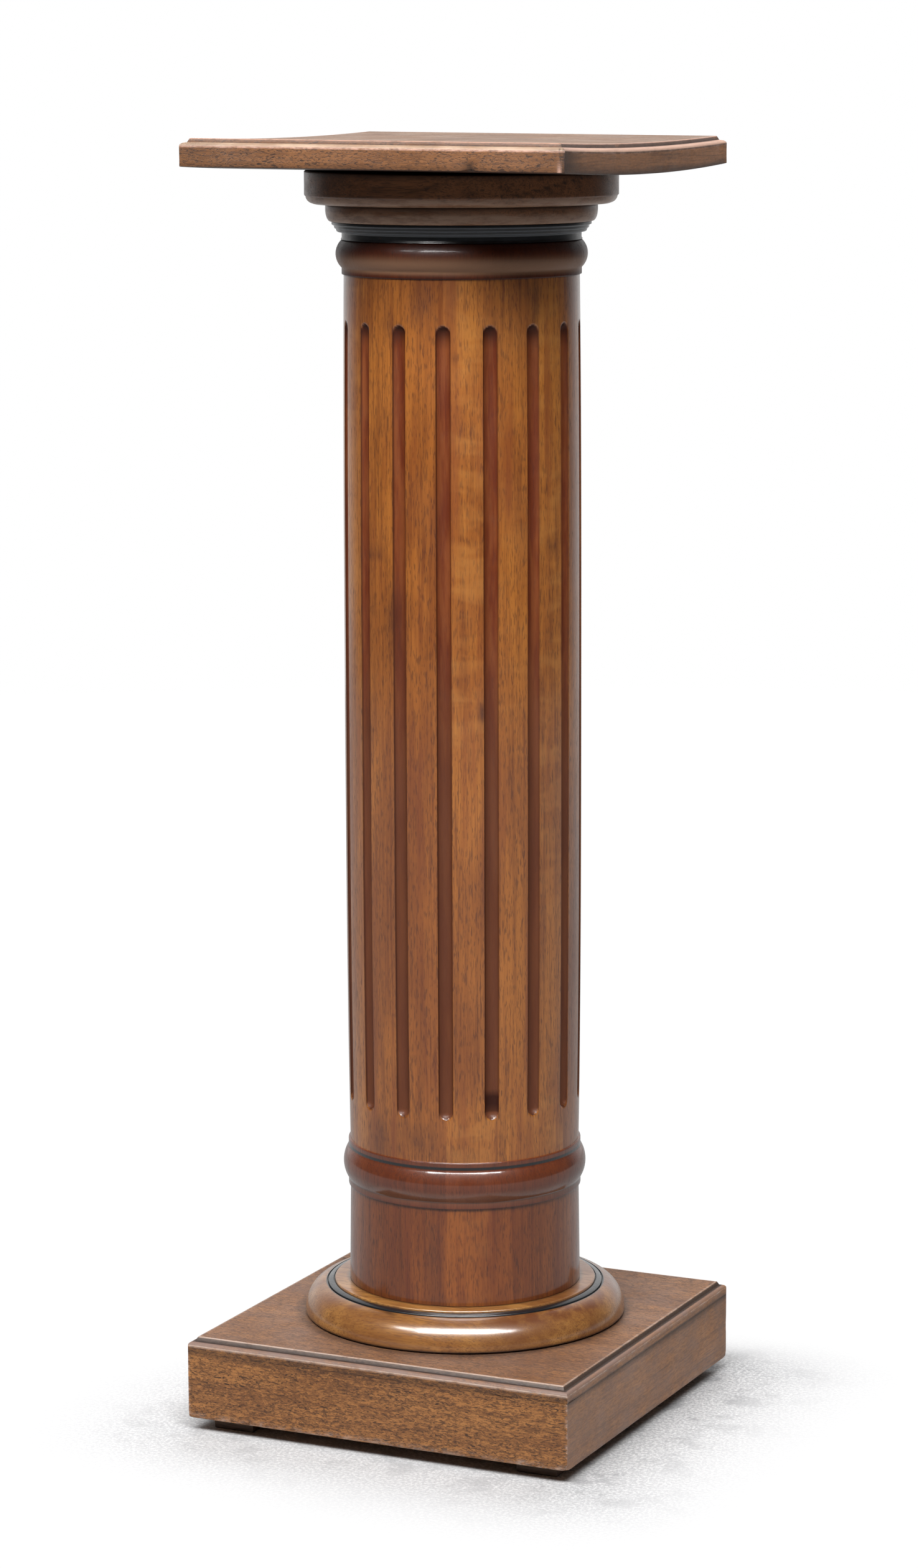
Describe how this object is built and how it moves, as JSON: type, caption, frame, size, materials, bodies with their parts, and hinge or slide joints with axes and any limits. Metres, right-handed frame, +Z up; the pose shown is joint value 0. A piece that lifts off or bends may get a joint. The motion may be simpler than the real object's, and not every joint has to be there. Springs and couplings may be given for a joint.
{
  "type": "fluted column pedestal",
  "caption": "Turned wooden column pedestal with a stop-fluted shaft, blackened rings, a square moulded plinth on low feet and a cupped square top.",
  "frame": {"origin": "on the floor under the middle of the plinth", "axes": "+Z up along the shaft; the front faces -Y; X runs along the grain of the top board, whose cup curves across Y"},
  "size_m": [0.325, 0.325, 1.006],
  "materials": {
    "foot_wood": "bare softwood, dirty",
    "plinth_wood": "worn satin mahogany",
    "ring_wood": "glossy golden mahogany with a blackened band",
    "shaft_wood": "glossy french-polished mahogany",
    "ebonised_wood": "ebonised, glossy",
    "dark_wood": "dark stained mahogany, satin",
    "top_wood": "faded satin mahogany"
  },
  "bodies": {
    "root": {"foot_front_left": "foot_wood", "foot_front_right": "foot_wood", "foot_back_left": "foot_wood", "foot_back_right": "foot_wood", "plinth_block": "plinth_wood", "plinth_board": "plinth_wood", "base_ring": "ring_wood", "column_shaft": "shaft_wood", "neck_ring": "ebonised_wood", "echinus_disc": "dark_wood", "abacus_disc": "dark_wood", "top_board": "top_wood"}
  },
  "joints": []
}
